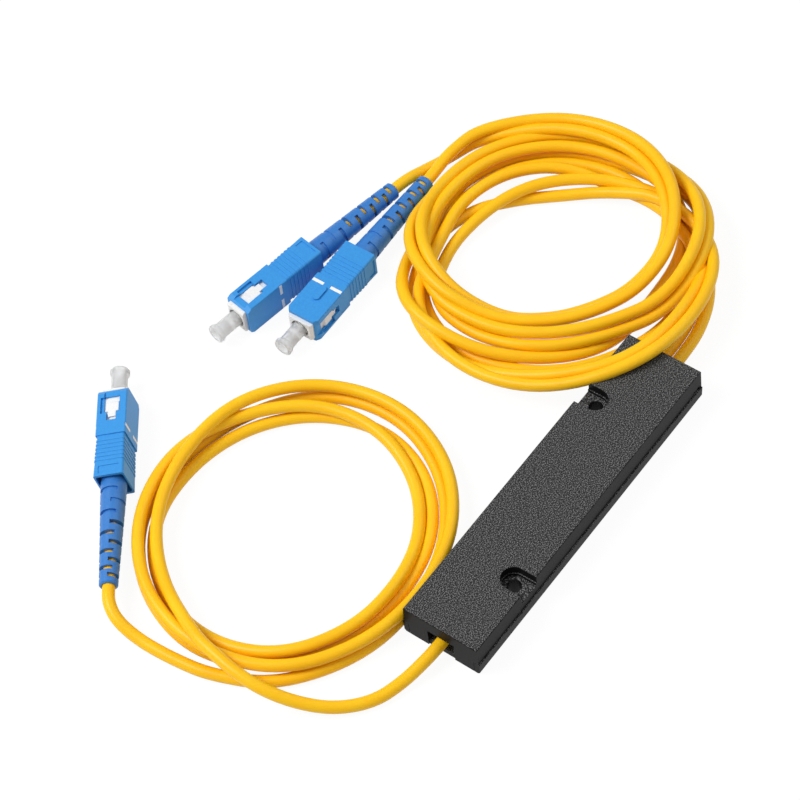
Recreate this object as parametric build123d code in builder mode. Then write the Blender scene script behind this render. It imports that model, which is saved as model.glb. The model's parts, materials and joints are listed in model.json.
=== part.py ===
from build123d import *
import os
from math import cos, pi, radians, sin, tan

os.makedirs("parts", exist_ok=True)

# A slim splitter box with one input cord and two output cords, each ending in a push-pull plug.
# +X runs from the input end of the box to the output end, +Z is up, and the box stands on Z = 0.

# Box
box_length = 90.0
box_width = 20.0
box_height = 9.5
seam_height = 3.8
side_draft = 0.15
rail_proud = 0.3
shell_wall = 1.2
end_wall = 1.4
roof_thickness = 1.2
floor_thickness = 1.2
shell_gap = 0.1
base_chamfer = 0.5
cover_edge_fillet = 0.25
tongue_length = 30.0
tongue_thickness = 0.8
tongue_drop = 1.2
slot_length = 2.7
slot_height = 1.0
slot_inset = 0.9
seam_notch_width = 0.6
seam_notch_depth = 0.35
seam_notch_place = 28.6
overrun = 1.0

# Screw recesses
recess_place = 25.1
recess_offset = 6.0
recess_radius = 3.05
recess_floor = 6.4
recess_ledge_width = 0.3
recess_ledge_height = 0.8
recess_wall = 0.9
recess_slab = 1.0
screw_hole_radius = 1.75
boss_wall = 1.1

# Cord exits
cord_diameter = 3.0
cord_height = 3.7
cord_spacing = 3.3
notch_width = 7.2
notch_top = 5.8
notch_lip = 1.7
lip_setback = 0.3
web_thickness = 1.0
web_setback = 1.2
web_width = 12.0
web_height = 5.2
cord_clearance = 0.1
anchor_length = 5.0
anchor_wall = 0.6
anchor_bite = 4.0
anchor_cradle_rise = 0.4

# Splitter sleeve and what is in it
sleeve_length = 40.0
sleeve_side = 4.0
sleeve_wall = 0.3
sleeve_corner = 0.4
sleeve_plug_length = 2.0
sleeve_clearance = 0.05
cradle_place = 14.0
cradle_width = 8.0
cradle_top = 4.4
chip_length = 12.5
block_length = 5.0
block_side = 2.8
fibre_tube_diameter = 0.9
fibre_clearance = 0.05
fibre_spacing = 1.4
fibre_splay_start = 4.0
fibre_splay_end = 11.0

# Plug housing, measured back from its front face
housing_length = 24.5
housing_thin = 7.4
housing_wide = 9.0
housing_corner = 0.35
nose_length = 13.0
nose_chamfer_back = 1.3
nose_chamfer_drop = 0.9
grip_inset = 0.3
grip_corner = 0.6
rib_count = 6
rib_start = 14.4
rib_pitch = 1.13
rib_width = 0.45
rib_proud = 0.11
housing_bore_thin = 5.6
housing_bore_wide = 7.2
housing_bore_corner = 0.3
rear_pocket_thin = 6.6
rear_pocket_wide = 7.6
rear_pocket_corner = 0.6
rear_pocket_depth = 2.6
window_start = 2.1
window_neck_start = 6.8
window_end = 9.0
window_width = 3.9
window_neck_width = 2.4
bridge_recess = 0.5
relief_start = 2.4
relief_end = 6.9
relief_width = 0.9
relief_depth = 0.6
relief_offset = 2.35
key_start = 5.65
key_length = 4.4
key_width = 1.6
key_height = 0.5
label_start = 21.7
label_length = 2.1
label_width = 5.0
label_depth = 0.25
mark_place = 10.8
mark_length = 0.9
mark_gap = 2.0
mark_depth = 0.15

# Plug frame
frame_proud = 1.0
frame_length = 18.5
frame_clearance = 0.1
frame_corner = 0.25
frame_chamfer = 0.5
frame_mouth_radius = 2.45
frame_mouth_depth = 7.0
frame_stop_length = 1.5
frame_chamber_radius = 2.3
shoulder_start = 3.4
shoulder_neck_start = 6.3
shoulder_end = 7.8
shoulder_width = 3.2
shoulder_neck_width = 1.9
shoulder_height = 0.55
shoulder_ramp = 0.5

# Ferrule, holder and spring
ferrule_radius = 1.25
ferrule_proud = 1.2
ferrule_length = 10.5
ferrule_chamfer = 0.25
running_clearance = 0.05
holder_radius = 2.1
holder_length = 2.4
holder_stem_radius = 1.1
holder_stem_length = 3.2
holder_cup_depth = 1.7
fit_clearance = 0.02
spring_radius = 1.7
spring_wire_radius = 0.25
spring_turns = 5
spring_gap = 0.1

# Plug body, crimp ring and boot
body_seat_length = 2.4
body_seat_clearance = 0.1
body_flange_length = 1.6
body_flange_radius = 2.65
body_neck_radius = 2.1
body_neck_length = 5.0
body_tail_radius = 1.95
body_tail_length = 6.0
body_bore_radius = 0.8
body_groove_count = 4
body_groove_width = 0.5
body_groove_depth = 0.15
crimp_wall = 0.4
crimp_tail_length = 3.0
boot_front = 23.3
boot_tip = 52.2
boot_front_radius = 3.1
boot_tip_radius = 2.2
boot_collar_length = 2.4
boot_bore_radius = 2.5
boot_bore_step = 30.7
boot_step_radius = 2.1
boot_bore_end = 33.6
boot_skin = 0.15
boot_tip_round = 0.3
boot_slot_count = 10
boot_slot_first = 2.0
boot_slot_pitch = 1.95
boot_slot_growth = 0.15
boot_slot_width = 1.0
boot_slot_angle = 120.0
boot_slot_turn = 90.0

# Dust cap
cap_proud = 8.0
cap_depth = 4.6
cap_radius = 1.95
cap_flare_radius = 2.4
cap_flare_length = 1.0
cap_flare_slope = 0.7
cap_bore_end = 2.6
cap_mouth_radius = 1.5
cap_mouth_depth = 4.2
cap_edge = 0.2

# Places of the plugs: front face centre, turn about Z, roll about the plug's own axis, whether both
# relief grooves lie on the key's side, and turn of the boot.
PLUGS = {
    "plug_1": {"front": (-33.6, 102.4, 5.1), "turn": 37.0, "roll": -10.0, "key_side": True, "boot_turn": 158.0},
    "plug_2": {"front": (1.9, 93.8, 4.5), "turn": 170.9, "roll": 180.0, "key_side": True, "boot_turn": 109.0},
    "plug_3": {"front": (8.2, 79.6, 3.7), "turn": 181.0, "roll": 90.0, "key_side": False, "boot_turn": 22.0},
}

# Cord routes outside the coils, from the box or the boot tip into the coil
INPUT_LEAD = [
    (-49.6, 0.0, 3.7),
    (-56.6, 1.5, 2.0),
    (-64.0, 5.0, 1.6),
    (-70.2, 11.0, 2.3),
    (-74.8, 18.6, 4.3),
    (-76.6, 27.2, 5.6),
    (-75.4, 36.0, 5.8),
    (-72.2, 43.4, 5.8),
]
OUTPUT_LEAD_1 = [(48.0, -1.65, 3.7), (54.2, -1.2, 3.6), (60.4, 0.6, 3.2), (66.0, 3.6, 3.0)]
OUTPUT_LEAD_2 = [(48.0, 1.65, 3.7), (53.6, 2.2, 3.6), (59.2, 3.6, 3.3), (64.4, 6.4, 3.1)]
tail_run = 4.5
INPUT_TAIL = [
    (-81.0, 64.4, 4.3),
    (-81.3, 58.2, 2.6),
    (-80.5, 51.0, 1.7),
    (-79.0, 44.0, 1.6),
    (-76.4, 37.2, 1.6),
    (-72.6, 31.0, 1.6),
]
OUTPUT_TAIL_1 = [(71.8, 79.9, 5.6), (78.0, 77.2, 5.8), (83.0, 73.4, 5.8)]
OUTPUT_TAIL_2 = [(64.0, 83.9, 2.0), (70.4, 81.4, 1.6), (76.6, 78.0, 1.6), (81.6, 73.4, 1.6)]

# Coils: the outer shape of the turns, as shares of one radius, every 30 degrees from +X
coil_radius = 35.0
input_coil_centre = (-37.0, 45.5)
input_coil_height = 7.6
input_outer_shares = (1.12, 1.13, 1.06, 1.07, 1.10, 1.13, 1.14, 1.14, 1.07, 0.99, 1.02, 1.07)
input_inner_shares = (0.82, 0.85, 0.83, 0.85, 0.90, 0.91, 0.95, 0.94, 0.83, 0.75, 0.73, 0.76)
output_coil_centre = (60.0, 42.0)
output_coil_height = 10.0
output_outer_shares = (1.04, 1.16, 1.19, 1.01, 1.04, 1.18, 1.21, 1.20, 0.95, 1.00, 1.13, 1.15)
output_inner_shares = (0.57, 0.47, 0.50, 0.57, 0.67, 0.74, 0.60, 0.52, 0.51, 0.60, 0.72, 0.74)
# The two turns that pass over the end of the box, every 15 degrees
bridge_first_angle = 195
bridge_step_angle = 15
bridge_outer_shares = (1.24, 1.27, 1.30, 1.32, 1.28, 1.22, 1.16, 1.13)
bridge_inner_shares = (1.02, 1.06, 1.12, 1.15, 1.09, 1.03, 0.99, 0.97)
bridge_thickness = 3.1
coil_clearance = 0.35
bridge_overhang = 12.0

half_length = box_length / 2
half_width = box_width / 2
rail_half_width = half_width + side_draft + rail_proud
rail_inner = half_width + side_draft - shell_wall
cord_radius = cord_diameter / 2
cord_bore_radius = cord_radius + cord_clearance
anchor_radius = cord_radius + cord_clearance + anchor_wall
web_face = half_length - end_wall - web_setback
anchor_face = web_face - web_thickness
cord_end = anchor_face - anchor_bite
block_end = chip_length / 2 + block_length
cord_sides = (-cord_spacing / 2, cord_spacing / 2)
all_pieces = []


def keep(part, label, file_name=None):
    """Labels a finished piece, writes its file and counts it."""
    part.label = label
    export_step(part, f"parts/{label}.step")
    all_pieces.append(part)


def recess_outline(radius):
    """U-shaped outline of a screw recess, open to the long side at -Y."""
    with BuildSketch(mode=Mode.PRIVATE) as outline:
        with Locations((-recess_place, -recess_offset)):
            Circle(radius)
        reach = half_width + overrun - recess_offset
        with Locations((-recess_place, -recess_offset - reach / 2)):
            Rectangle(2 * radius, reach)
    return outline.sketch


def both_corners(item):
    """An item and its copy turned half a turn about the middle of the box."""
    return [item, item.rotate(Axis.Z, 180)]


def build_cover():
    """Moulded top cover, with its end walls, tongues and two open screw recesses."""
    with BuildPart() as cover:
        with BuildSketch(Plane.YZ.offset(-half_length)):
            with BuildLine():
                Polyline(
                    (-half_width - side_draft, seam_height),
                    (-half_width, box_height),
                    (half_width, box_height),
                    (half_width + side_draft, seam_height),
                    close=True,
                )
            make_face()
        extrude(amount=box_length)
        fillet(cover.faces().sort_by(Axis.Z)[-1].edges(), cover_edge_fillet)
        inner_length = box_length - 2 * end_wall
        with BuildSketch(Plane.XY.offset(seam_height)):
            Rectangle(inner_length, 2 * rail_inner)
        extrude(amount=box_height - roof_thickness - seam_height, mode=Mode.SUBTRACT)
        end_wall_width = 2 * (rail_inner - shell_gap)
        with BuildSketch():
            with Locations(*[(side * (half_length - end_wall / 2), 0) for side in (-1, 1)]):
                Rectangle(end_wall, end_wall_width)
        extrude(amount=seam_height + shell_gap)
        tongue_y = rail_inner - shell_gap - tongue_thickness / 2
        with BuildSketch(Plane.XY.offset(seam_height - tongue_drop)):
            with Locations((0, -tongue_y), (0, tongue_y)):
                Rectangle(tongue_length, tongue_thickness)
        extrude(amount=tongue_drop)
        with BuildSketch(Plane.XY.offset(seam_height)):
            with Locations((0, -tongue_y), (0, tongue_y)):
                Rectangle(tongue_length, tongue_thickness + 2 * shell_gap)
        extrude(amount=box_height - roof_thickness - seam_height)
        slab_bottom = recess_floor - recess_slab
        with BuildSketch(Plane.XY.offset(slab_bottom)) as pockets:
            for outline in both_corners(recess_outline(recess_radius + recess_wall)):
                add(outline)
            Rectangle(box_length, 2 * rail_inner, mode=Mode.INTERSECT)
        extrude(amount=box_height - roof_thickness - slab_bottom)
        with BuildSketch(Plane.XY.offset(recess_floor + recess_ledge_height)):
            for outline in both_corners(recess_outline(recess_radius)):
                add(outline)
        extrude(amount=box_height, mode=Mode.SUBTRACT)
        with BuildSketch(Plane.XY.offset(recess_floor)):
            for outline in both_corners(recess_outline(recess_radius - recess_ledge_width)):
                add(outline)
        extrude(amount=box_height, mode=Mode.SUBTRACT)
        with BuildSketch(Plane.XY.offset(slab_bottom - overrun)):
            with Locations((-recess_place, -recess_offset), (recess_place, recess_offset)):
                Circle(screw_hole_radius)
        extrude(amount=recess_slab + 2 * overrun, mode=Mode.SUBTRACT)
        with BuildSketch(Plane.YZ.offset(-half_length - overrun)):
            with Locations((0, notch_top / 2)):
                Rectangle(notch_width, notch_top)
        extrude(amount=box_length + 2 * overrun, mode=Mode.SUBTRACT)
        slot_x = half_length - slot_inset - slot_length / 2
        with BuildSketch(Plane.XY.offset(seam_height)):
            with Locations((slot_x, -half_width), (-slot_x, half_width)):
                Rectangle(slot_length, 2 * shell_wall)
        extrude(amount=slot_height, mode=Mode.SUBTRACT)
    keep(cover.part, "top_cover")
    return cover.part


def build_tray():
    """Moulded base tray: floor, proud side rails, screw bosses, sleeve cradles and anchor webs."""
    rail_top = seam_height - shell_gap
    floor_end = half_length - end_wall - shell_gap
    with BuildPart() as tray:
        with BuildSketch(Plane.YZ.offset(-half_length)):
            with BuildLine():
                Polyline(
                    (-rail_half_width + side_draft, 0),
                    (-rail_half_width, rail_top),
                    (rail_half_width, rail_top),
                    (rail_half_width - side_draft, 0),
                    close=True,
                )
            make_face()
        extrude(amount=box_length)
        chamfer(tray.faces().sort_by(Axis.Z)[0].edges().filter_by(Axis.X), base_chamfer)
        with BuildSketch(Plane.XY.offset(floor_thickness)):
            Rectangle(box_length + overrun, 2 * rail_inner)
        extrude(amount=seam_height, mode=Mode.SUBTRACT)
        with BuildSketch():
            with Locations(*[(side * half_length, 0) for side in (-1, 1)]):
                Rectangle(2 * (half_length - floor_end), 2 * rail_inner)
        extrude(amount=floor_thickness, mode=Mode.SUBTRACT)
        lip_length = half_length - floor_end - lip_setback + overrun
        with BuildSketch():
            with Locations(*[(side * (floor_end - overrun + lip_length / 2), 0) for side in (-1, 1)]):
                Rectangle(lip_length, notch_width - 2 * shell_gap)
        extrude(amount=notch_lip)
        with BuildSketch(Plane.XY.offset(floor_thickness)):
            with Locations((-recess_place, -recess_offset), (recess_place, recess_offset)):
                Circle(screw_hole_radius + boss_wall)
        extrude(amount=recess_floor - recess_slab - shell_gap - floor_thickness)
        with BuildSketch(Plane.XY.offset(floor_thickness)):
            with Locations(*[(side * (web_face - web_thickness / 2), 0) for side in (-1, 1)]):
                Rectangle(web_thickness, web_width)
        extrude(amount=web_height - floor_thickness)
        cradle_x = anchor_face - anchor_length / 2
        with BuildSketch(Plane.XY.offset(floor_thickness)):
            with Locations(*[(side * cradle_x, 0) for side in (-1, 1)]):
                Rectangle(web_thickness, web_width)
            with Locations(*[(side * cradle_place, 0) for side in (-1, 1)]):
                Rectangle(web_thickness, cradle_width)
        extrude(amount=cradle_top - floor_thickness)
        # Slots for the cords, the anchors and the sleeve
        with BuildSketch(Plane.YZ.offset(-half_length)):
            with Locations((0, cord_height)):
                Circle(cord_bore_radius)
            with Locations((0, cord_height + box_height / 2)):
                Rectangle(2 * cord_bore_radius, box_height)
        extrude(amount=half_length - anchor_face, mode=Mode.SUBTRACT)
        with BuildSketch(Plane.YZ.offset(half_length)):
            with Locations(*[(side, cord_height) for side in cord_sides]):
                Circle(cord_bore_radius)
            with Locations((0, cord_height + box_height / 2)):
                Rectangle(cord_spacing + 2 * cord_bore_radius, box_height)
        extrude(amount=anchor_face - half_length, mode=Mode.SUBTRACT)
        anchor_slot = anchor_radius + shell_gap
        with BuildSketch(Plane.YZ.offset(-anchor_face)):
            with Locations((0, cord_height)):
                Circle(anchor_slot)
            with Locations((0, cord_height + box_height / 2)):
                Rectangle(2 * anchor_slot, box_height)
        extrude(amount=anchor_length, mode=Mode.SUBTRACT)
        with BuildSketch(Plane.YZ.offset(anchor_face)):
            with Locations((0, cord_height)):
                SlotCenterToCenter(cord_spacing, 2 * anchor_slot)
            with Locations((0, cord_height + box_height / 2)):
                Rectangle(cord_spacing + 2 * anchor_slot, box_height)
        extrude(amount=-anchor_length, mode=Mode.SUBTRACT)
        sleeve_slot = sleeve_side + 2 * sleeve_clearance
        with BuildSketch(Plane.YZ.offset(-sleeve_length / 2)):
            with Locations((0, cord_height - sleeve_slot / 2 + box_height / 2)):
                Rectangle(sleeve_slot, box_height)
        extrude(amount=sleeve_length, mode=Mode.SUBTRACT)
        with BuildSketch(Plane.XY.offset(-overrun)):
            with Locations((-recess_place, -recess_offset), (recess_place, recess_offset)):
                Circle(screw_hole_radius)
        extrude(amount=box_height + overrun, mode=Mode.SUBTRACT)
        with BuildSketch(Plane.XY.offset(rail_top)):
            with Locations((-seam_notch_place, -rail_half_width), (seam_notch_place, rail_half_width)):
                Rectangle(seam_notch_width, seam_notch_width)
        extrude(amount=-seam_notch_depth, mode=Mode.SUBTRACT)
    keep(tray.part, "base_tray")
    return tray.part


def build_anchors():
    """Crimp collars that hold the ends of the cords in the tray."""
    with BuildPart() as input_anchor:
        with BuildSketch(Plane.YZ.offset(-anchor_face)):
            with Locations((0, cord_height)):
                Circle(anchor_radius)
                Circle(cord_bore_radius, mode=Mode.SUBTRACT)
        extrude(amount=anchor_length)
    keep(input_anchor.part, "input_anchor")
    with BuildPart() as output_anchor:
        with BuildSketch(Plane.YZ.offset(anchor_face)):
            with Locations((0, cord_height)):
                SlotCenterToCenter(cord_spacing, 2 * anchor_radius)
            with Locations(*[(side, cord_height) for side in cord_sides]):
                Circle(cord_bore_radius, mode=Mode.SUBTRACT)
        extrude(amount=-anchor_length)
    keep(output_anchor.part, "output_anchor")


def build_sleeve():
    """Square steel sleeve with its end plugs, the chip and the fibre blocks, on the cord's height."""
    inner_side = sleeve_side - 2 * sleeve_wall
    with BuildPart() as sleeve:
        with BuildSketch(Plane.YZ.offset(-sleeve_length / 2)):
            with Locations((0, cord_height)):
                RectangleRounded(sleeve_side, sleeve_side, sleeve_corner)
                Rectangle(inner_side, inner_side, mode=Mode.SUBTRACT)
        extrude(amount=sleeve_length)
    keep(sleeve.part, "splitter_sleeve")
    plug_side = inner_side - 2 * sleeve_clearance
    fibre_bore = fibre_tube_diameter / 2 + fibre_clearance
    holes = {"input": (-1, (0,)), "output": (1, (-fibre_spacing / 2, fibre_spacing / 2))}
    for name, (side, places) in holes.items():
        with BuildPart() as end_plug:
            with BuildSketch(Plane.YZ.offset(side * sleeve_length / 2)):
                with Locations((0, cord_height)):
                    Rectangle(plug_side, plug_side)
                with Locations(*[(place, cord_height) for place in places]):
                    Circle(fibre_bore, mode=Mode.SUBTRACT)
            extrude(amount=-side * sleeve_plug_length)
        keep(end_plug.part, f"sleeve_{name}_plug")
    inside = {
        "splitter_chip": (0, chip_length),
        "input_fibre_block": (-(chip_length + block_length) / 2, block_length),
        "output_fibre_block": ((chip_length + block_length) / 2, block_length),
    }
    for name, (middle, length) in inside.items():
        with BuildPart() as block:
            with Locations((middle, 0, cord_height)):
                Box(length, block_side, block_side)
        keep(block.part, name)


def arc_radii(route):
    """The largest arc at each corner of a route: 0.45 of the shorter run over the tangent of half the turn."""
    points = [Vector(*point) for point in route]
    radii = []
    for before, corner, after in zip(points, points[1:], points[2:]):
        run_in = corner - before
        run_out = after - corner
        shorter = min(run_in.length, run_out.length)
        half_turn = radians(run_in.get_angle(run_out)) / 2
        radii.append(0.45 * shorter / tan(half_turn))
    return radii


def build_tube(label, route, radius, straight=0):
    """A cord along straight runs and tangent arcs, with a straight stretch behind its first point."""
    radii = arc_radii(route)
    with BuildPart() as tube:
        with BuildLine():
            path = FilletPolyline(*route, radius=radii)
        start = Plane(origin=path @ 0, z_dir=path % 0)
        with BuildSketch(start):
            Circle(radius)
        sweep(path=path)
        if straight:
            with BuildSketch(start):
                Circle(radius)
            extrude(amount=-straight)
    length = path.length + straight
    volume_share = tube.part.volume / (pi * radius**2 * length)
    print(label, "length", round(length, 1), "radii", [round(r, 1) for r in radii], round(volume_share, 4))
    keep(tube.part, label)


def build_fibre_tubes():
    """Thin tubes that carry the fibres from the cord ends to the fibre blocks."""
    radius = fibre_tube_diameter / 2
    with BuildPart() as input_tube:
        with BuildSketch(Plane.YZ.offset(-cord_end)):
            with Locations((0, cord_height)):
                Circle(radius)
        extrude(amount=cord_end - block_end)
    keep(input_tube.part, "input_fibre_tube")
    for number, side in enumerate((-1, 1), start=1):
        inner_y = side * fibre_spacing / 2
        outer_y = side * cord_spacing / 2
        route = [
            (sleeve_length / 2, inner_y, cord_height),
            (sleeve_length / 2 + fibre_splay_start, inner_y, cord_height),
            (sleeve_length / 2 + fibre_splay_end, outer_y, cord_height),
            (cord_end, outer_y, cord_height),
        ]
        build_tube(f"output_fibre_tube_{number}", route, radius, straight=sleeve_length / 2 - block_end)


def housing_section(distance, shrink, corner):
    """Outline of the housing at a distance behind its front face."""
    with BuildSketch(Plane.YZ.offset(-distance), mode=Mode.PRIVATE) as section:
        RectangleRounded(housing_thin - 2 * shrink, housing_wide - 2 * shrink, corner)
    return section.sketch


def wedge_outline(front, height, back, drop, depth):
    """Outline of the two wedges cut off the front edges at the Z faces, on a plane at Y = depth."""
    with BuildSketch(Plane.XZ.offset(-depth), mode=Mode.PRIVATE) as wedges:
        for side in (1, -1):
            with BuildLine():
                Polyline(
                    (front, side * (height - drop)),
                    (front + overrun, side * (height - drop)),
                    (front + overrun, side * (height + overrun)),
                    (front - back, side * (height + overrun)),
                    (front - back, side * height),
                    close=True,
                )
            make_face()
    return wedges.sketch


def build_housing(key_side):
    """Sliding outer housing of a plug, front face at X = 0, key at +Y, windows at both Z faces."""
    with BuildPart() as housing:
        extrude(housing_section(0, 0, housing_corner), amount=-nose_length)
        wedges = wedge_outline(0, housing_wide / 2, nose_chamfer_back, nose_chamfer_drop, housing_thin)
        extrude(wedges, amount=2 * housing_thin, mode=Mode.SUBTRACT)
        grip_front = housing_section(nose_length, grip_inset, grip_corner)
        grip_rear = housing_section(housing_length, 0, grip_corner)
        loft([grip_front, grip_rear])
        for number in range(rib_count):
            rib_place = rib_start + number * rib_pitch - rib_width / 2
            inset_there = grip_inset * (housing_length - rib_place) / (housing_length - nose_length)
            extrude(housing_section(rib_place, inset_there - rib_proud, grip_corner), amount=-rib_width)
        with BuildSketch(Plane.YZ.offset(overrun)):
            RectangleRounded(housing_bore_thin, housing_bore_wide, housing_bore_corner)
        extrude(amount=-housing_length, mode=Mode.SUBTRACT)
        with BuildSketch(Plane.YZ.offset(-housing_length)):
            RectangleRounded(rear_pocket_thin, rear_pocket_wide, rear_pocket_corner)
        extrude(amount=rear_pocket_depth, mode=Mode.SUBTRACT)
        wall_inside = housing_bore_wide / 2 - overrun
        for side in (1, -1):
            top = Plane(origin=(0, 0, side * wall_inside), z_dir=(0, 0, side), x_dir=(1, 0, 0))
            with BuildSketch(top):
                with Locations((-(window_start + window_neck_start) / 2, 0)):
                    Rectangle(window_neck_start - window_start, window_width)
                with Locations((-(window_start + window_end) / 2, 0)):
                    Rectangle(window_end - window_start, window_neck_width)
            extrude(amount=housing_wide, mode=Mode.SUBTRACT)
            face_top = top.offset(housing_wide / 2 - wall_inside)
            with BuildSketch(face_top):
                Rectangle(2 * window_start, window_width)
            extrude(amount=-bridge_recess, mode=Mode.SUBTRACT)
            groove_y = relief_offset * (side if key_side else 1)
            with BuildSketch(face_top):
                with Locations((-(relief_start + relief_end) / 2, groove_y)):
                    Rectangle(relief_end - relief_start, relief_width)
            extrude(amount=-relief_depth, mode=Mode.SUBTRACT)
            with BuildSketch(face_top):
                with Locations((-label_start - label_length / 2, 0)):
                    Rectangle(label_length, label_width)
            extrude(amount=-label_depth, mode=Mode.SUBTRACT)
            key_face = Plane(origin=(0, side * housing_thin / 2, 0), z_dir=(0, side, 0), x_dir=(1, 0, 0))
            mark_width = (housing_wide - mark_gap) / 2
            with BuildSketch(key_face):
                with Locations(*[(-mark_place, end * (housing_wide - mark_width) / 2) for end in (-1, 1)]):
                    Rectangle(mark_length, mark_width)
            extrude(amount=-mark_depth, mode=Mode.SUBTRACT)
        with BuildSketch(Plane(origin=(0, housing_thin / 2, 0), z_dir=(0, 1, 0), x_dir=(1, 0, 0))):
            with Locations((-key_start - key_length / 2, 0)):
                SlotOverall(key_length, key_width)
        extrude(amount=key_height)
    return housing.part


def build_frame():
    """White plug frame inside the housing, with its mouth, spring chamber and latch shoulders."""
    thin = housing_bore_thin - 2 * frame_clearance
    wide = housing_bore_wide - 2 * frame_clearance
    with BuildPart() as frame:
        with BuildSketch(Plane.YZ.offset(frame_proud)):
            RectangleRounded(thin, wide, frame_corner)
        extrude(amount=-frame_length)
        wedges = wedge_outline(frame_proud, wide / 2, frame_chamfer, frame_chamfer, thin)
        extrude(wedges, amount=2 * thin, mode=Mode.SUBTRACT)
        for side in (1, -1):
            shoulder_face = Plane(origin=(0, 0, side * wide / 2), z_dir=(0, 0, side), x_dir=(1, 0, 0))
            with BuildSketch(shoulder_face):
                with Locations((-(shoulder_start + shoulder_neck_start) / 2, 0)):
                    Rectangle(shoulder_neck_start - shoulder_start, shoulder_width)
                with Locations((-(shoulder_start + shoulder_end) / 2, 0)):
                    Rectangle(shoulder_end - shoulder_start, shoulder_neck_width)
            extrude(amount=shoulder_height)
        ramp_edges = [
            edge
            for edge in frame.edges().filter_by(Axis.Y)
            if abs(abs(edge.center().Z) - wide / 2 - shoulder_height) < fit_clearance
            and abs(edge.center().X + shoulder_start) < fit_clearance
        ]
        chamfer(ramp_edges, shoulder_ramp)
        with BuildSketch(Plane.YZ.offset(frame_proud)):
            Circle(frame_mouth_radius)
        extrude(amount=-frame_mouth_depth, mode=Mode.SUBTRACT)
        with BuildSketch(Plane.YZ.offset(frame_proud)):
            Circle(ferrule_radius + running_clearance)
        extrude(amount=-frame_length, mode=Mode.SUBTRACT)
        with BuildSketch(Plane.YZ.offset(frame_proud - frame_mouth_depth - frame_stop_length)):
            Circle(frame_chamber_radius)
        extrude(amount=-frame_length, mode=Mode.SUBTRACT)
    return frame.part


chamber_start = frame_mouth_depth + frame_stop_length - frame_proud
frame_rear = frame_length - frame_proud
holder_front = chamber_start + spring_gap
holder_rear = holder_front + holder_length
body_front = frame_rear - body_seat_length
body_flange_end = frame_rear + body_flange_length
body_neck_end = body_flange_end + body_neck_length
body_rear = body_neck_end + body_tail_length
crimp_front = body_neck_end + shell_gap
cord_stop = body_rear + spring_gap


def build_ferrule():
    """Ceramic ferrule with its chamfered tip."""
    with BuildPart() as ferrule:
        with BuildSketch(Plane.YZ.offset(ferrule_proud)):
            Circle(ferrule_radius)
        extrude(amount=-ferrule_length)
        tip = ferrule.faces().sort_by(Axis.X)[-1]
        chamfer(tip.edges(), ferrule_chamfer)
    return ferrule.part


def build_holder():
    """Metal holder behind the ferrule: a flange that the frame stops and a stem in the spring."""
    cup_depth = ferrule_length - ferrule_proud - holder_front + fit_clearance
    with BuildPart() as holder:
        with BuildSketch(Plane.YZ.offset(-holder_front)):
            Circle(holder_radius)
        extrude(amount=-holder_length)
        with BuildSketch(Plane.YZ.offset(-holder_rear)):
            Circle(holder_stem_radius)
        extrude(amount=-holder_stem_length)
        with BuildSketch(Plane.YZ.offset(-holder_front)):
            Circle(ferrule_radius + fit_clearance)
        extrude(amount=-cup_depth, mode=Mode.SUBTRACT)
        with BuildSketch(Plane.YZ.offset(-holder_front)):
            Circle(fibre_tube_diameter / 2)
        extrude(amount=-holder_length - holder_stem_length, mode=Mode.SUBTRACT)
    return holder.part


def build_spring():
    """Helical spring between the holder's flange and the body."""
    free_length = body_front - holder_rear - 2 * spring_gap - 2 * spring_wire_radius
    first = holder_rear + spring_gap + spring_wire_radius
    pitch = free_length / spring_turns
    with BuildPart() as spring:
        with BuildLine() as coil:
            Helix(pitch, free_length, spring_radius, center=(-first, 0, 0), direction=(-1, 0, 0))
        with BuildSketch(Plane(origin=coil.line @ 0, z_dir=coil.line % 0)):
            Circle(spring_wire_radius)
        sweep()
    return spring.part


def build_body():
    """Plug body: seat in the frame, flange, neck and grooved tail under the crimp ring."""
    steps = [
        (body_front, body_seat_length, frame_chamber_radius - body_seat_clearance),
        (frame_rear, body_flange_length, body_flange_radius),
        (body_flange_end, body_neck_length, body_neck_radius),
        (body_neck_end, body_tail_length, body_tail_radius),
    ]
    with BuildPart() as body:
        for start, length, radius in steps:
            with BuildSketch(Plane.YZ.offset(-start)):
                Circle(radius)
            extrude(amount=-length)
        groove_pitch = body_tail_length / (body_groove_count + 1)
        for number in range(body_groove_count):
            with BuildSketch(Plane.YZ.offset(-body_neck_end - (number + 1) * groove_pitch)):
                Circle(body_tail_radius)
                Circle(body_tail_radius - body_groove_depth, mode=Mode.SUBTRACT)
            extrude(amount=-body_groove_width, mode=Mode.SUBTRACT)
        with BuildSketch(Plane.YZ.offset(-body_front)):
            Circle(body_bore_radius)
        extrude(amount=-body_rear, mode=Mode.SUBTRACT)
    return body.part


def build_crimp():
    """Stepped crimp ring over the body's tail and the end of the cord."""
    inner = body_tail_radius + running_clearance
    cord_inner = cord_radius + cord_clearance
    outer = inner + crimp_wall
    cord_outer = cord_inner + crimp_wall
    with BuildPart() as crimp:
        with BuildSketch(Plane.XY):
            with BuildLine():
                Polyline(
                    (-crimp_front, inner),
                    (-crimp_front, outer),
                    (-cord_stop, outer),
                    (-cord_stop - crimp_wall, cord_outer),
                    (-cord_stop - crimp_tail_length, cord_outer),
                    (-cord_stop - crimp_tail_length, cord_inner),
                    (-cord_stop, cord_inner),
                    (-cord_stop, inner),
                    close=True,
                )
            make_face()
        revolve(axis=Axis.X)
    return crimp.part


def boot_radius(distance):
    """Outer radius of the boot at a distance behind the plug's front face."""
    collar_end = boot_front + boot_collar_length
    share = max(0, distance - collar_end) / (boot_tip - collar_end)
    return boot_front_radius + (boot_tip_radius - boot_front_radius) * share


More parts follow.
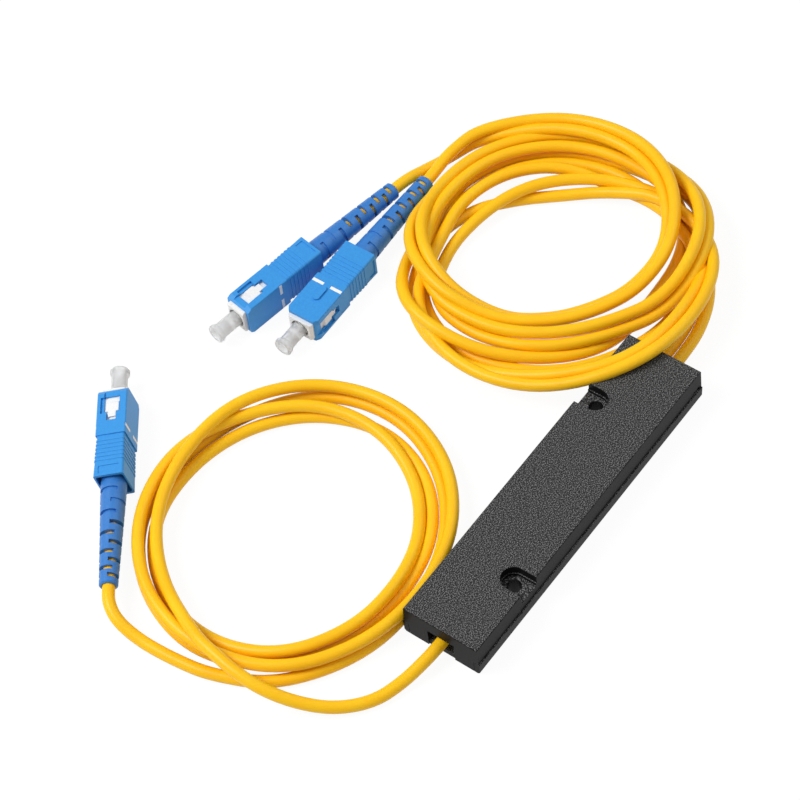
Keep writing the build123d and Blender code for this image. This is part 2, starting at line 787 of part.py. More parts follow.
def slot_floor(place):
    """Radius of the floor of a boot slot: a thin skin stays over the crimp ring, the rest is open."""
    if place > boot_bore_end:
        return cord_bore_radius
    if place > boot_bore_step:
        return boot_step_radius + boot_skin
    return boot_bore_radius + boot_skin


def build_boot():
    """Slotted strain relief, with a pair of slots at each place, each pair turned from the last."""
    collar_end = boot_front + boot_collar_length
    with BuildPart() as boot:
        with BuildSketch(Plane.XY):
            with BuildLine():
                Polyline(
                    (-boot_front, boot_bore_radius),
                    (-boot_front, boot_front_radius),
                    (-collar_end, boot_front_radius),
                    (-boot_tip + boot_tip_round, boot_radius(boot_tip - boot_tip_round)),
                    (-boot_tip, boot_tip_radius - boot_tip_round),
                    (-boot_tip, cord_bore_radius),
                    (-boot_bore_end, cord_bore_radius),
                    (-boot_bore_end, boot_step_radius),
                    (-boot_bore_step, boot_step_radius),
                    (-boot_bore_step, boot_bore_radius),
                    close=True,
                )
            make_face()
        revolve(axis=Axis.X)
        reach = boot_front_radius + overrun
        for number in range(boot_slot_count):
            spread = boot_slot_pitch + boot_slot_growth * (number - 1) / 2
            place = boot_tip - boot_slot_first - number * spread
            floor = slot_floor(place)
            for pair in (0, 2):
                middle = (number % 2 + pair) * boot_slot_turn
                with BuildSketch(Plane.YZ.offset(-place)):
                    with BuildLine():
                        CenterArc((0, 0), reach, middle - boot_slot_angle / 2, boot_slot_angle)
                        CenterArc((0, 0), floor, middle - boot_slot_angle / 2, boot_slot_angle)
                        for edge_angle in (middle - boot_slot_angle / 2, middle + boot_slot_angle / 2):
                            ray = Vector(cos(radians(edge_angle)), sin(radians(edge_angle)))
                            Line(ray * floor, ray * reach)
                    make_face()
                extrude(amount=-boot_slot_width / 2, both=True, mode=Mode.SUBTRACT)
    return boot.part


def build_cap():
    """Translucent dust cap over the ferrule, with a flared rim."""
    flare_start = cap_proud - cap_flare_length
    with BuildPart() as cap:
        with BuildSketch(Plane.XY):
            with BuildLine():
                Polyline(
                    (-cap_depth, ferrule_radius + running_clearance),
                    (-cap_depth, cap_radius),
                    (flare_start - cap_flare_slope, cap_radius),
                    (flare_start, cap_flare_radius),
                    (cap_proud - cap_edge, cap_flare_radius),
                    (cap_proud, cap_flare_radius - cap_edge),
                    (cap_proud, cap_mouth_radius),
                    (cap_proud - cap_mouth_depth, cap_mouth_radius),
                    (cap_proud - cap_mouth_depth, 0),
                    (cap_bore_end, 0),
                    (cap_bore_end, ferrule_radius + running_clearance),
                    close=True,
                )
            make_face()
        revolve(axis=Axis.X)
    return cap.part


def plug_location(place):
    """Where a plug's own frame lies: its front face centre, turned about Z and rolled about its axis."""
    return Location(place["front"]) * Location((0, 0, 0), (0, 0, place["turn"])) * Location((0, 0, 0), (place["roll"], 0, 0))


def build_plugs():
    """The three plugs: the same pieces, each set placed where its plug lies."""
    shared = {
        "frame": build_frame(),
        "ferrule": build_ferrule(),
        "ferrule_holder": build_holder(),
        "spring": build_spring(),
        "body": build_body(),
        "crimp": build_crimp(),
        "cap": build_cap(),
    }
    housings = {key_side: build_housing(key_side) for key_side in (True, False)}
    boot = build_boot()
    for name, place in PLUGS.items():
        turned_boot = boot.moved(Location((0, 0, 0), (place["boot_turn"], 0, 0)))
        pieces = {"housing": housings[place["key_side"]], "boot": turned_boot, **shared}
        for piece_name, piece in pieces.items():
            keep(piece.moved(plug_location(place)), f"{name}_{piece_name}")


def plug_point(name, distance):
    """A point on a plug's axis, at a distance behind its front face."""
    place = PLUGS[name]
    turn = radians(place["turn"])
    x, y, z = place["front"]
    return (x - distance * cos(turn), y - distance * sin(turn), z)


def build_cords():
    """The cords outside the coils: leads at the box and tails at the plugs."""
    inside = half_length - cord_end
    exits = {
        "input_lead": [(-half_length, 0, cord_height)] + INPUT_LEAD,
        "output_lead_1": [(half_length, cord_sides[0], cord_height)] + OUTPUT_LEAD_1,
        "output_lead_2": [(half_length, cord_sides[1], cord_height)] + OUTPUT_LEAD_2,
    }
    for label, route in exits.items():
        build_tube(label, route, cord_radius, straight=inside)
    tails = {
        "input_tail": ("plug_1", INPUT_TAIL),
        "output_tail_1": ("plug_3", OUTPUT_TAIL_1),
        "output_tail_2": ("plug_2", OUTPUT_TAIL_2),
    }
    for label, (plug, points) in tails.items():
        route = [plug_point(plug, boot_tip), plug_point(plug, boot_tip + tail_run)] + points
        build_tube(label, route, cord_radius, straight=boot_tip - cord_stop)


def ring_points(centre, shares, first_angle=0, step_angle=30):
    """Points of an outline round a coil's centre."""
    points = []
    for number, share in enumerate(shares):
        angle = radians(first_angle + number * step_angle)
        radius = coil_radius * share
        points.append((centre[0] + radius * cos(angle), centre[1] + radius * sin(angle)))
    return points


def build_input_coil():
    """Outer shape of the input cord's coil."""
    with BuildPart() as coil:
        with BuildSketch():
            with BuildLine():
                Spline(*ring_points(input_coil_centre, input_outer_shares), periodic=True)
            make_face()
            with BuildLine():
                Spline(*ring_points(input_coil_centre, input_inner_shares), periodic=True)
            make_face(mode=Mode.SUBTRACT)
        extrude(amount=input_coil_height)
    keep(coil.part, "input_coil")


def build_output_coil():
    """Outer shape of the output cords' coil, with the turns that pass over the end of the box."""
    bridge_bottom = box_height + coil_clearance
    with BuildPart() as coil:
        with BuildSketch():
            with BuildLine():
                outer = ring_points(output_coil_centre, bridge_outer_shares, bridge_first_angle, bridge_step_angle)
                inner = ring_points(output_coil_centre, bridge_inner_shares, bridge_first_angle, bridge_step_angle)
                outer_edge = Spline(*outer)
                inner_edge = Spline(*inner)
                Line(outer_edge @ 0, inner_edge @ 0)
                Line(outer_edge @ 1, inner_edge @ 1)
            make_face()
        extrude(amount=bridge_bottom + bridge_thickness)
        with BuildSketch():
            with BuildLine():
                Spline(*ring_points(output_coil_centre, output_outer_shares), periodic=True)
            make_face()
            with BuildLine():
                Spline(*ring_points(output_coil_centre, output_inner_shares), periodic=True)
            make_face(mode=Mode.SUBTRACT)
        extrude(amount=output_coil_height)
        box_side = rail_half_width + coil_clearance
        with BuildSketch():
            with Locations((bridge_overhang / 2, 0)):
                Rectangle(box_length + bridge_overhang, 2 * box_side)
        extrude(amount=bridge_bottom, mode=Mode.SUBTRACT)
    keep(coil.part, "output_coil")


build_cover()
build_tray()
build_anchors()
build_sleeve()
build_fibre_tubes()
build_plugs()
build_cords()
build_input_coil()
build_output_coil()
print(len(all_pieces), "pieces")
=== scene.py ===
import json
from math import cos, radians, sin, sqrt

import bmesh
import bpy
from mathutils import Matrix, Vector


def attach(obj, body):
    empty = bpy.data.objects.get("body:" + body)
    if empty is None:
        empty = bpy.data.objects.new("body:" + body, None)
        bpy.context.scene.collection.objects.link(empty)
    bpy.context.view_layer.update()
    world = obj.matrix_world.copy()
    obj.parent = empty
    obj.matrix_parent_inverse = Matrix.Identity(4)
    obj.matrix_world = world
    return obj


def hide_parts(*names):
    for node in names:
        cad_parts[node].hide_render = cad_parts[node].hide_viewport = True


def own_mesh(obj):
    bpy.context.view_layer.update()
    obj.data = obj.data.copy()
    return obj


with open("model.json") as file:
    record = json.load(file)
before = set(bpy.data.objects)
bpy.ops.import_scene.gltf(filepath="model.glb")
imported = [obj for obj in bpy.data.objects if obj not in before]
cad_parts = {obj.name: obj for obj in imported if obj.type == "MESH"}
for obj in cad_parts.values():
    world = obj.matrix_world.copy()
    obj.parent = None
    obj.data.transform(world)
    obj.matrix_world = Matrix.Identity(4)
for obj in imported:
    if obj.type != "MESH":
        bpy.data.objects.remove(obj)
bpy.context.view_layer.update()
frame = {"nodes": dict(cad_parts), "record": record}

MM = 0.001

# Camera, fitted to the photograph, in millimetres and degrees
CAMERA_TARGET = (5.257, 48.58, 0.0)
CAMERA_AZIMUTH = -47.283
CAMERA_ELEVATION = 54.35
CAMERA_DISTANCE = 677.8
CAMERA_ROLL = -7.881
CAMERA_LENS = 128.93
SENSOR_WIDTH = 36

# Studio, in metres and watts
FLOOR_HALF_SIDE = 4.0
FLOOR_DROP = 0.0001
FLOOR_GLOW = 1.04
FLOOR_GLOW_SHARE = 0.9
WORLD_LEVEL = 0.4
LAMPS = [
    ("key", (-0.45, 0.55, 0.9), 0.5, 9.2),
    ("fill", (0.6, -0.3, 0.8), 0.8, 2.4),
]

# Cords, in millimetres
CORD = 3.0
BOX_END = 45.0
CORD_SPACING = 3.3

# Where a cord stops in its plug and where it enters the boot, behind the plug's front face
CORD_STOP = 30.3
BOOT_TIP = 52.2

# Angle between two stations of a turn, and how much further out than the cord its control points lie
STEP = 30
REACH = 1 / cos(radians(STEP / 2))

SPLINE_ORDER = 3
SPLINE_RESOLUTION = 10
BEVEL_RESOLUTION = 6

# Radius and height of the input cord's turns, at every station clockwise from 180 degrees
IN_CENTRE = (-37.0, 45.5)
IN_FIRST = 180
IN_TURNS = [
    (37.0, 7.2), (33.4, 4.7), (33.0, 4.5), (33.2, 6.3), (35.6, 7.2), (38.2, 4.6),
    (37.8, 4.5), (36.1, 4.5), (34.6, 4.5), (33.6, 4.5), (35.3, 4.5), (38.4, 4.5),
    (38.5, 4.5), (38.0, 4.5), (37.1, 4.5), (36.1, 4.5), (33.2, 4.3), (32.3, 4.3),
    (30.1, 3.8), (28.0, 2.2), (26.9, 1.6), (27.6, 4.0), (30.7, 4.5), (34.5, 4.3),
    (34.8, 1.5), (34.8, 1.5), (33.9, 1.5), (31.4, 1.5), (30.9, 1.5), (31.2, 1.5),
    (31.8, 1.5), (31.0, 1.5), (29.8, 1.5), (29.2, 1.5), (31.0, 1.5), (35.6, 1.5),
    (38.6, 1.5), (38.0, 1.5), (37.4, 1.5), (34.6, 1.5), (34.7, 1.5), (37.3, 1.5),
    (36.7, 1.5), (34.2, 1.5), (32.8, 1.5), (32.9, 1.5), (36.0, 1.5), (40.0, 1.5),
]
IN_LEAD = [
    (-37.4, 0, 3.7), (-45.5, 0, 3.7), (-50.2, 0.6, 3.0), (-56.6, 2.0, 1.7), (-64.0, 4.4, 1.5),
    (-70.4, 10.2, 1.9), (-74.6, 17.2, 3.6), (-77.2, 24.8, 5.8), (-77.6, 32.2, 7.3), (-76.4, 39.6, 7.4),
]
IN_TAIL = [
    (-79.0, 39.0, 1.5), (-80.3, 47.2, 1.5), (-80.9, 54.6, 1.6),
    (-81.0, 59.6, 2.4), (-80.6, 64.4, 3.9), (-78.6, 68.3, 5.0),
]

# The output cords' turns, at every station clockwise from 60 degrees, from the plugs to the box
OUT_CENTRE = (60.0, 42.0)
OUT_FIRST = 60
A_LEAD = [(65.4, 80.7, 3.9), (70.6, 80.5, 5.0)]
A_TURNS = [
    (40.1, 5.6), (38.7, 7.0), (35.6, 9.5), (31.8, 10.0), (28.4, 9.2), (24.7, 6.5),
    (22.0, 5.2), (22.7, 5.2), (25.7, 5.5), (31.4, 7.4), (35.6, 7.6), (34.3, 2.9),
    (35.6, 1.5), (35.9, 1.5), (35.5, 1.5), (38.5, 5.0), (37.2, 10.0), (33.4, 4.5),
    (29.4, 4.5), (29.4, 4.3), (30.7, 3.2), (31.8, 2.6), (25.4, 1.5), (20.8, 3.0),
    (19.4, 4.5), (20.7, 4.5), (24.4, 3.0), (31.5, 4.6), (36.9, 4.4), (37.8, 9.4),
    (42.1, 11.2), (39.6, 6.4), (39.1, 1.6), (37.9, 1.5), (31.4, 1.5), (24.7, 1.5),
    (18.9, 1.5), (17.8, 1.5), (21.5, 2.8), (29.5, 5.0), (38.8, 6.7), (41.1, 9.8),
    (44.8, 11.2), (43.1, 6.3), (40.7, 3.9), (36.8, 5.0), (27.2, 4.5), (26.5, 4.5),
    (25.9, 4.5), (24.9, 4.5), (24.8, 1.5), (28.0, 3.0),
]
A_EXIT = [
    (80.0, 16.0, 4.3), (73.4, 9.2, 3.4), (65.8, 4.6, 3.4),
    (57.6, 2.0, 3.7), (46.0, 1.65, 3.7), (37.4, 1.65, 3.7),
]
B_LEAD = [(58.5, 84.8, 4.2), (64.0, 84.0, 2.2), (70.4, 81.8, 1.6)]
B_TURNS = [
    (39.4, 3.2), (35.1, 7.5), (33.7, 7.2), (29.6, 7.0), (26.8, 6.5), (22.4, 4.1),
    (19.2, 2.7), (19.6, 2.1), (22.6, 2.0), (28.4, 7.4), (32.4, 9.8), (33.4, 5.8),
    (35.2, 4.5), (35.5, 4.5), (35.0, 4.5), (36.7, 7.1), (35.1, 12.0), (31.5, 7.2),
    (27.2, 6.5), (26.8, 6.0), (28.7, 5.1), (32.3, 6.2), (31.0, 7.2), (30.4, 5.9),
    (32.0, 4.5), (31.9, 4.5), (31.9, 4.5), (34.4, 1.5), (30.3, 2.6), (27.2, 2.2),
    (30.6, 2.0), (31.7, 2.4), (35.9, 5.5), (40.0, 7.8), (34.4, 1.8), (28.4, 1.5),
    (28.7, 1.5), (28.8, 1.5), (29.2, 1.5), (29.8, 1.5), (33.0, 1.5), (34.6, 1.5),
    (34.0, 1.5), (35.0, 1.5), (36.0, 1.5), (34.6, 1.5), (30.2, 4.2), (31.2, 3.0),
    (32.2, 1.5), (32.3, 1.5), (32.2, 1.5), (37.4, 1.6),
]
B_EXIT = [
    (85.2, 15.6, 1.8), (77.6, 9.0, 1.6), (69.0, 2.9, 2.3),
    (60.0, -0.5, 3.2), (51.4, -1.65, 3.7), (37.4, -1.65, 3.7),
]

# Plugs: front face centre, turn about Z and roll about the plug's own axis
PLUGS = {
    "plug_1": ((-33.6, 102.4, 5.1), 37.0, -10.0),
    "plug_2": ((1.9, 93.8, 4.5), 170.9, 180.0),
    "plug_3": ((8.2, 79.6, 3.7), 181.0, 90.0),
}

# White marks on a plug's housing, in millimetres in the plug's own frame: place and length along the plug,
# distance from its middle to their inner and outer ends, and height of their underside and top
MARK_PLACE = -10.8
MARK_LENGTH = 0.86
MARK_INNER = 1.02
MARK_OUTER = 4.24
MARK_LOW = 3.56
MARK_HIGH = 3.69
MARK_BEVEL = 0.03

# Materials: noise scales per metre, heights of the surface grain in metres, spread of the gloss
MOULDED_GRAIN = 2500.0
CLEAR_GRAIN = 1800.0
JACKET_GRAIN = 2200.0
JACKET_CLOUD = 90.0
METAL_STREAK = 1200.0
BOX_COARSE = 4000.0
BOX_FINE = 5200.0
FINE_HEIGHT = 0.00003
ERODED_HEIGHT = 0.00012
MOULDED_SPREAD = 0.06
CLEAR_SPREAD = 0.08
CLEAR_IOR = 1.42


def new_material(name):
    """An empty node material with its shader, and its node tree."""
    material = bpy.data.materials.new(name)
    material.use_nodes = True
    tree = material.node_tree
    return material, tree, tree.nodes["Principled BSDF"]


def add_node(tree, kind, **settings):
    node = tree.nodes.new(kind)
    for key, value in settings.items():
        setattr(node, key, value)
    return node


def set_inputs(node, **values):
    for key, value in values.items():
        node.inputs[key.replace("_", " ")].default_value = value


def object_noise(tree, scale, detail=4.0, roughness=0.6):
    """Noise in the object's own coordinates, with features of about 1/scale metres."""
    coordinates = add_node(tree, "ShaderNodeTexCoord")
    noise = add_node(tree, "ShaderNodeTexNoise")
    set_inputs(noise, Scale=scale, Detail=detail, Roughness=roughness)
    tree.links.new(coordinates.outputs["Object"], noise.inputs["Vector"])
    return noise


def ramp(tree, source, stops):
    """A colour ramp over a factor: (position, colour) pairs."""
    node = add_node(tree, "ShaderNodeValToRGB")
    elements = node.color_ramp.elements
    while len(elements) < len(stops):
        elements.new(0.5)
    for element, (position, colour) in zip(elements, stops):
        element.position = position
        element.color = (*colour, 1)
    tree.links.new(source, node.inputs["Fac"])
    return node


def add_bump(tree, shader, height, strength, distance):
    bump = add_node(tree, "ShaderNodeBump")
    set_inputs(bump, Strength=strength, Distance=distance)
    tree.links.new(height, bump.inputs["Height"])
    tree.links.new(bump.outputs["Normal"], shader.inputs["Normal"])


def moulded(name, dark, light, roughness, bump=0.25, specular=0.5):
    """Moulded plastic: a fine grain in colour, gloss and height."""
    material, tree, shader = new_material(name)
    noise = object_noise(tree, MOULDED_GRAIN)
    colour = ramp(tree, noise.outputs["Fac"], [(0.35, dark), (0.65, light)])
    tree.links.new(colour.outputs["Color"], shader.inputs["Base Color"])
    gloss = add_node(tree, "ShaderNodeMapRange")
    set_inputs(gloss, To_Min=roughness - MOULDED_SPREAD, To_Max=roughness + MOULDED_SPREAD)
    tree.links.new(noise.outputs["Fac"], gloss.inputs["Value"])
    tree.links.new(gloss.outputs["Result"], shader.inputs["Roughness"])
    add_bump(tree, shader, noise.outputs["Fac"], bump, FINE_HEIGHT)
    shader.inputs["Specular IOR Level"].default_value = specular
    return material


def box_moulding():
    """Black moulding: spark-eroded grain on faces that look up, satin on the walls, and painted shade, the walls
    being coloured far darker than the tops.
    """
    material, tree, shader = new_material("black_moulding")
    geometry = add_node(tree, "ShaderNodeNewGeometry")
    split = add_node(tree, "ShaderNodeSeparateXYZ")
    tree.links.new(geometry.outputs["True Normal"], split.inputs["Vector"])
    upward = add_node(tree, "ShaderNodeMapRange")
    set_inputs(upward, From_Min=0.6, From_Max=0.95)
    tree.links.new(split.outputs["Z"], upward.inputs["Value"])
    coarse = object_noise(tree, BOX_COARSE, detail=1.0, roughness=0.5)
    fine = object_noise(tree, BOX_FINE, detail=2.0)
    top_stops = [(0.40, (0.012, 0.012, 0.012)), (0.53, (0.056, 0.056, 0.056)), (0.64, (0.22, 0.22, 0.22))]
    top_colour = ramp(tree, coarse.outputs["Fac"], top_stops)
    # Painted shade: faces that look sideways get a colour far darker than the tops
    wall_painted_shade_colour = ramp(tree, fine.outputs["Fac"], [(0.3, (0.005, 0.005, 0.005)), (0.7, (0.010, 0.010, 0.010))])
    mix = add_node(tree, "ShaderNodeMix", data_type="RGBA")
    tree.links.new(upward.outputs["Result"], mix.inputs["Factor"])
    tree.links.new(wall_painted_shade_colour.outputs["Color"], mix.inputs["A"])
    tree.links.new(top_colour.outputs["Color"], mix.inputs["B"])
    tree.links.new(mix.outputs["Result"], shader.inputs["Base Color"])
    gloss = add_node(tree, "ShaderNodeMapRange")
    set_inputs(gloss, To_Min=0.42, To_Max=0.62)
    tree.links.new(upward.outputs["Result"], gloss.inputs["Value"])
    tree.links.new(gloss.outputs["Result"], shader.inputs["Roughness"])
    height = add_node(tree, "ShaderNodeMath", operation="MULTIPLY")
    tree.links.new(coarse.outputs["Fac"], height.inputs[0])
    tree.links.new(upward.outputs["Result"], height.inputs[1])
    add_bump(tree, shader, height.outputs["Value"], 0.6, ERODED_HEIGHT)
    shader.inputs["Specular IOR Level"].default_value = 0.06
    return material


def cord_jacket():
    """Yellow cord jacket: satin, a little uneven in colour and surface."""
    material, tree, shader = new_material("yellow_jacket")
    cloud = object_noise(tree, JACKET_CLOUD, detail=2.0)
    colour = ramp(tree, cloud.outputs["Fac"], [(0.3, (1.0, 0.53, 0.003)), (0.7, (1.0, 0.58, 0.007))])
    tree.links.new(colour.outputs["Color"], shader.inputs["Base Color"])
    grain = object_noise(tree, JACKET_GRAIN, detail=3.0)
    gloss = add_node(tree, "ShaderNodeMapRange")
    set_inputs(gloss, To_Min=0.34, To_Max=0.48)
    tree.links.new(grain.outputs["Fac"], gloss.inputs["Value"])
    tree.links.new(gloss.outputs["Result"], shader.inputs["Roughness"])
    add_bump(tree, shader, grain.outputs["Fac"], 0.12, FINE_HEIGHT)
    shader.inputs["Specular IOR Level"].default_value = 0.3
    shader.inputs["Subsurface Weight"].default_value = 0.15
    shader.inputs["Subsurface Radius"].default_value = (0.002, 0.001, 0.0003)
    shader.inputs["Subsurface Scale"].default_value = 0.5
    return material


def metal(name, colour, roughness):
    """Plated or drawn metal with fine streaks."""
    material, tree, shader = new_material(name)
    noise = object_noise(tree, METAL_STREAK, detail=5.0)
    shade = ramp(tree, noise.outputs["Fac"], [(0.3, tuple(0.85 * c for c in colour)), (0.7, colour)])
    tree.links.new(shade.outputs["Color"], shader.inputs["Base Color"])
    shader.inputs["Metallic"].default_value = 1.0
    gloss = add_node(tree, "ShaderNodeMapRange")
    set_inputs(gloss, To_Min=roughness - 0.05, To_Max=roughness + 0.08)
    tree.links.new(noise.outputs["Fac"], gloss.inputs["Value"])
    tree.links.new(gloss.outputs["Result"], shader.inputs["Roughness"])
    return material


def translucent(name, colour, transmission, roughness):
    """Frosted clear plastic."""
    material, tree, shader = new_material(name)
    noise = object_noise(tree, CLEAR_GRAIN)
    gloss = add_node(tree, "ShaderNodeMapRange")
    set_inputs(gloss, To_Min=roughness - CLEAR_SPREAD, To_Max=roughness + CLEAR_SPREAD)
    tree.links.new(noise.outputs["Fac"], gloss.inputs["Value"])
    tree.links.new(gloss.outputs["Result"], shader.inputs["Roughness"])
    shade = ramp(tree, noise.outputs["Fac"], [(0.3, tuple(0.94 * c for c in colour)), (0.7, colour)])
    tree.links.new(shade.outputs["Color"], shader.inputs["Base Color"])
    shader.inputs["Transmission Weight"].default_value = transmission
    shader.inputs["IOR"].default_value = CLEAR_IOR
    return material


BOX_MOULDING = box_moulding()
JACKET = cord_jacket()
HOUSING_BLUE = moulded("housing_blue", (0.040, 0.28, 0.69), (0.050, 0.32, 0.76), 0.40, specular=0.25)
BOOT_BLUE = moulded("boot_blue", (0.030, 0.18, 0.54), (0.038, 0.21, 0.60), 0.42, bump=0.35)
WHITE = moulded("frame_white", (0.80, 0.81, 0.81), (0.88, 0.88, 0.87), 0.4)
MARK_WHITE = moulded("mark_white", (0.85, 0.86, 0.87), (0.92, 0.92, 0.92), 0.5)
CERAMIC = moulded("ceramic", (0.86, 0.86, 0.84), (0.90, 0.90, 0.88), 0.18, bump=0.05)
TUBE_WHITE = moulded("tube_white", (0.82, 0.82, 0.80), (0.88, 0.88, 0.86), 0.4)
PLATED = metal("plated", (0.72, 0.70, 0.64), 0.3)
DRAWN = metal("drawn_steel", (0.62, 0.62, 0.63), 0.35)
CAP_CLEAR = translucent("cap_clear", (0.97, 0.975, 0.98), 0.68, 0.35)
SILICA = translucent("silica", (0.9, 0.94, 0.95), 0.9, 0.12)

SLOT_MATERIAL = {
    "box_moulding": BOX_MOULDING,
    "sleeve_steel": DRAWN,
    "sleeve_plug": TUBE_WHITE,
    "silica": SILICA,
    "fibre_tube": TUBE_WHITE,
    "cord": JACKET,
    "plug_housing": HOUSING_BLUE,
    "plug_frame": WHITE,
    "ferrule": CERAMIC,
    "plug_metal": PLATED,
    "spring_steel": DRAWN,
    "boot": BOOT_BLUE,
    "dust_cap": CAP_CLEAR,
}


def dress(node, material):
    """Gives a CAD node its material."""
    slots = frame["nodes"][node].data.materials
    slots.clear()
    slots.append(material)


for part in frame["record"]["subparts"]:
    dress(part["node"], SLOT_MATERIAL[part["material_slot"]])


def stations(turns, first):
    """Angle, radius and height of each station, clockwise."""
    return [((first - STEP * number) % 360, radius, height) for number, (radius, height) in enumerate(turns)]


def lift_strands(groups):
    """Rests strands on those below them: at each angle the lower ones are placed first."""
    heights = [[0.0] * len(group) for group in groups]
    for angle in range(0, 360, STEP):
        here = []
        for which, group in enumerate(groups):
            for number, (place, radius, height) in enumerate(group):
                if place == angle:
                    here.append((height, radius, which, number))
        placed = []
        for height, radius, which, number in sorted(here):
            for under, under_radius in placed:
                gap = abs(radius - under_radius)
                if gap < CORD:
                    height = max(height, under + sqrt(CORD**2 - gap**2))
            placed.append((height, radius))
            heights[which][number] = height
    return heights


def coil_points(centre, groups):
    """Control points of each cord's turns. The spline runs inside them, so they lie a little further out."""
    cords = []
    for group, heights in zip(groups, lift_strands(groups)):
        points = []
        for (angle, radius, _), height in zip(group, heights):
            x = centre[0] + REACH * radius * cos(radians(angle))
            y = centre[1] + REACH * radius * sin(radians(angle))
            points.append((x, y, height))
        cords.append(points)
    return cords


def plug_matrix(name):
    """A plug's own frame: +X to its front, +Y to its key."""
    front, turn, roll = PLUGS[name]
    place = Matrix.Translation(Vector(front) * MM)
    return place @ Matrix.Rotation(radians(turn), 4, "Z") @ Matrix.Rotation(radians(roll), 4, "X")


def plug_point(name, distance):
    """A point on a plug's axis behind its front face, in millimetres."""
    front, turn, _ = PLUGS[name]
    return (front[0] - distance * cos(radians(turn)), front[1] - distance * sin(radians(turn)), front[2])


def new_object(name, data, material):
    piece = bpy.data.objects.new(name, data)
    bpy.context.scene.collection.objects.link(piece)
    data.materials.append(material)
    return piece


def cord_curve(name, points):
    """A cord as one open spline with the route's points as its control points."""
    data = bpy.data.curves.new(name, "CURVE")
    data.dimensions = "3D"
    spline = data.splines.new("NURBS")
    spline.points.add(len(points) - 1)
    for control, point in zip(spline.points, points):
        control.co = (*(Vector(point) * MM), 1)
    spline.order_u = SPLINE_ORDER
    spline.use_endpoint_u = True
    spline.resolution_u = SPLINE_RESOLUTION
    data.bevel_depth = CORD / 2 * MM
    data.bevel_resolution = BEVEL_RESOLUTION
    data.use_fill_caps = True
    return new_object(name, data, JACKET)


def marks(name):
    """Four white marks, two on each of two opposite faces of a plug's housing."""
    mesh = bpy.data.meshes.new(f"{name}_marks")
    shape = bmesh.new()
    size = Vector((MARK_LENGTH, MARK_HIGH - MARK_LOW, MARK_OUTER - MARK_INNER))
    for side in (1, -1):
        for end in (1, -1):
            middle = Vector((MARK_PLACE, side * (MARK_LOW + MARK_HIGH) / 2, end * (MARK_INNER + MARK_OUTER) / 2))
            bmesh.ops.create_cube(shape, matrix=Matrix.Translation(middle) @ Matrix.Diagonal((*size, 1)))
    bmesh.ops.bevel(
        shape, geom=list(shape.edges), offset=MARK_BEVEL, segments=2, affect="EDGES", clamp_overlap=True
    )
    shape.transform(plug_matrix(name) @ Matrix.Scale(MM, 4))
    shape.to_mesh(mesh)
    shape.free()
    piece = new_object(f"{name}_marks", mesh, MARK_WHITE)
    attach(piece, f"{name}_outer_housing")
    return piece


plug_marks = {name: marks(name) for name in PLUGS}


def soften_spring(name):
    """Gives the spring its own copy of its mesh."""
    spring = frame["nodes"][f"{name}_spring"]
    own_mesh(spring)


for plug in PLUGS:
    soften_spring(plug)


input_turns = coil_points(IN_CENTRE, [stations(IN_TURNS, IN_FIRST)])[0]
a_turns, b_turns = coil_points(OUT_CENTRE, [stations(A_TURNS, OUT_FIRST), stations(B_TURNS, OUT_FIRST)])
input_route = IN_LEAD + input_turns + IN_TAIL + [plug_point("plug_1", BOOT_TIP), plug_point("plug_1", CORD_STOP)]
a_route = [plug_point("plug_3", CORD_STOP), plug_point("plug_3", BOOT_TIP)] + A_LEAD + a_turns + A_EXIT
b_route = [plug_point("plug_2", CORD_STOP), plug_point("plug_2", BOOT_TIP)] + B_LEAD + b_turns + B_EXIT
a_route.reverse()
b_route.reverse()

# Name, route, exit from the box, length in metres, plug at the far end and the CAD nodes each cord replaces
CORDS = [
    (
        "input_cord", input_route, (-BOX_END, 0), 0.988, "plug_1",
        ("input_lead", "input_coil", "input_tail"),
    ),
    (
        "output_cord_a", a_route, (BOX_END, CORD_SPACING / 2), 0.963, "plug_3",
        ("output_lead_2", "output_coil", "output_tail_1"),
    ),
    (
        "output_cord_b", b_route, (BOX_END, -CORD_SPACING / 2), 0.965, "plug_2",
        ("output_lead_1", "output_coil", "output_tail_2"),
    ),
]
for name, route, (exit_x, exit_y), length, plug, stands_for in CORDS:
    piece = cord_curve(name, route)
    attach(piece, "box_and_cords")
    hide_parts(*stands_for)


def place_camera():
    """The photograph's camera, rolled a little about its own axis."""
    azimuth, elevation, roll = radians(CAMERA_AZIMUTH), radians(CAMERA_ELEVATION), radians(CAMERA_ROLL)
    back = Vector((sin(azimuth) * cos(elevation), -cos(azimuth) * cos(elevation), sin(elevation)))
    level = Vector((cos(azimuth), sin(azimuth), 0))
    upright = back.cross(level)
    right = level * cos(roll) + upright * sin(roll)
    up = upright * cos(roll) - level * sin(roll)
    data = bpy.data.cameras.new("camera")
    data.lens = CAMERA_LENS
    data.sensor_width = SENSOR_WIDTH
    camera = bpy.data.objects.new("camera", data)
    bpy.context.scene.collection.objects.link(camera)
    place = (Vector(CAMERA_TARGET) + back * CAMERA_DISTANCE) * MM
    camera.matrix_world = Matrix.Translation(place) @ Matrix((right, up, back)).transposed().to_4x4()
    bpy.context.scene.camera = camera


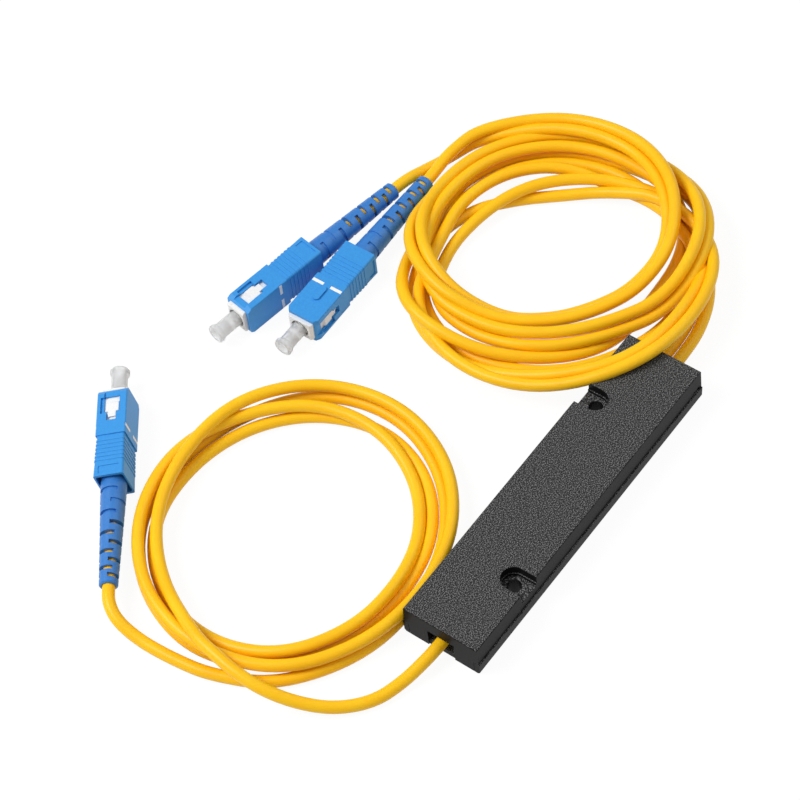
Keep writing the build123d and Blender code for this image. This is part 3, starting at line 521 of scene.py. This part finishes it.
def add_floor():
    """Pale floor that shows white and keeps a faint shadow."""
    mesh = bpy.data.meshes.new("floor")
    shape = bmesh.new()
    bmesh.ops.create_grid(shape, x_segments=1, y_segments=1, size=FLOOR_HALF_SIDE)
    shape.to_mesh(mesh)
    shape.free()
    material, tree, shader = new_material("floor")
    shader.inputs["Base Color"].default_value = (0.8, 0.8, 0.8, 1)
    shader.inputs["Roughness"].default_value = 0.9
    shader.inputs["Specular IOR Level"].default_value = 0.0
    glow = add_node(tree, "ShaderNodeEmission")
    set_inputs(glow, Strength=FLOOR_GLOW)
    path = add_node(tree, "ShaderNodeLightPath")
    seen = add_node(tree, "ShaderNodeMath", operation="MAXIMUM")
    tree.links.new(path.outputs["Is Camera Ray"], seen.inputs[0])
    tree.links.new(path.outputs["Is Glossy Ray"], seen.inputs[1])
    seen_more = add_node(tree, "ShaderNodeMath", operation="MAXIMUM")
    tree.links.new(seen.outputs["Value"], seen_more.inputs[0])
    tree.links.new(path.outputs["Is Transmission Ray"], seen_more.inputs[1])
    share = add_node(tree, "ShaderNodeMath", operation="MULTIPLY")
    share.inputs[1].default_value = FLOOR_GLOW_SHARE
    tree.links.new(seen_more.outputs["Value"], share.inputs[0])
    mix = add_node(tree, "ShaderNodeMixShader")
    tree.links.new(share.outputs["Value"], mix.inputs["Fac"])
    tree.links.new(shader.outputs["BSDF"], mix.inputs[1])
    tree.links.new(glow.outputs["Emission"], mix.inputs[2])
    tree.links.new(mix.outputs["Shader"], tree.nodes["Material Output"].inputs["Surface"])
    piece = new_object("floor", mesh, material)
    piece.location = (0, 0, -FLOOR_DROP)


def add_world(level):
    """White to the camera, a plain soft light to everything else."""
    world = bpy.data.worlds.new("studio")
    bpy.context.scene.world = world
    world.use_nodes = True
    tree = world.node_tree
    light = tree.nodes["Background"]
    light.inputs["Color"].default_value = (1, 1, 1, 1)
    light.inputs["Strength"].default_value = level
    white = add_node(tree, "ShaderNodeBackground")
    set_inputs(white, Color=(1, 1, 1, 1), Strength=1.0)
    path = add_node(tree, "ShaderNodeLightPath")
    mix = add_node(tree, "ShaderNodeMixShader")
    tree.links.new(path.outputs["Is Camera Ray"], mix.inputs["Fac"])
    tree.links.new(light.outputs["Background"], mix.inputs[1])
    tree.links.new(white.outputs["Background"], mix.inputs[2])
    tree.links.new(mix.outputs["Shader"], tree.nodes["World Output"].inputs["Surface"])


def add_lamp(name, place, size, power):
    """A soft square lamp that looks at the middle of the object."""
    data = bpy.data.lights.new(name, "AREA")
    data.size = size
    data.energy = power
    lamp = bpy.data.objects.new(name, data)
    bpy.context.scene.collection.objects.link(lamp)
    lamp.location = place
    towards = Vector((CAMERA_TARGET[0], CAMERA_TARGET[1], 0)) * MM - Vector(place)
    lamp.rotation_euler = towards.to_track_quat("-Z", "Y").to_euler()


place_camera()
add_floor()
add_world(WORLD_LEVEL)
for lamp_row in LAMPS:
    add_lamp(*lamp_row)

scene = bpy.context.scene
scene.view_settings.view_transform = "Standard"
